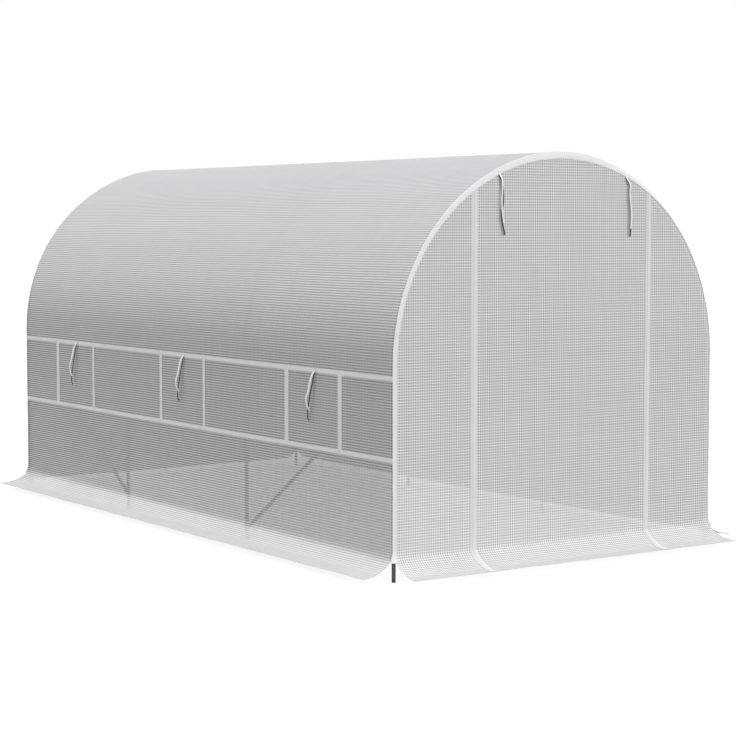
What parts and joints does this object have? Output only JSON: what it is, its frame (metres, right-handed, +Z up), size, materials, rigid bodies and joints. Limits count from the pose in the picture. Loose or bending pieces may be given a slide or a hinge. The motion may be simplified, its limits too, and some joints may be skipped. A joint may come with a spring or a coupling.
{
  "type": "polytunnel greenhouse",
  "caption": "Walk-in polytunnel: steel tube hoops under a white woven sheet cover with a zipped front door, roll-up side windows and flared ground skirts.",
  "frame": {"origin": "ground level, at the middle of the tunnel's length and width", "axes": "+Z up, +Y along the length from the door end to the back, +X to the right of someone facing the door"},
  "size_m": [2.33, 4.33, 1.9998],
  "materials": {
    "tube_steel": "dark grey coated steel tube",
    "cap_plastic": "black moulded plastic",
    "woven_sheet": "translucent white woven sheet with a square grid of threads",
    "white_tape": "opaque white woven tape",
    "tie_tape": "white and black hook and loop tape"
  },
  "bodies": {
    "root": {"front_arch": "tube_steel", "second_arch": "tube_steel", "third_arch": "tube_steel", "back_arch": "tube_steel", "left_legs": "tube_steel", "right_legs": "tube_steel", "ridge_purlin": "tube_steel", "left_purlin": "tube_steel", "right_purlin": "tube_steel", "left_braces": "tube_steel", "right_braces": "tube_steel", "foot_caps": "cap_plastic", "roof_sheet": "woven_sheet", "left_wall_sheet": "woven_sheet", "right_wall_sheet": "woven_sheet", "front_left_panel": "woven_sheet", "front_door": "woven_sheet", "front_right_panel": "woven_sheet", "back_panel": "woven_sheet", "left_skirt": "woven_sheet", "right_skirt": "woven_sheet", "back_skirt": "woven_sheet", "front_left_skirt": "woven_sheet", "door_skirt": "woven_sheet", "front_right_skirt": "woven_sheet", "left_front_window": "woven_sheet", "left_middle_window": "woven_sheet", "left_back_window": "woven_sheet", "right_front_window": "woven_sheet", "right_middle_window": "woven_sheet", "right_back_window": "woven_sheet", "front_rim_binding": "white_tape", "back_rim_binding": "white_tape", "door_left_tape": "white_tape", "door_right_tape": "white_tape", "left_window_tapes": "white_tape", "right_window_tapes": "white_tape", "door_left_tie": "tie_tape", "door_right_tie": "tie_tape", "left_front_tie": "tie_tape", "left_middle_tie": "tie_tape", "left_back_tie": "tie_tape", "right_front_tie": "tie_tape", "right_middle_tie": "tie_tape", "right_back_tie": "tie_tape"}
  },
  "joints": []
}
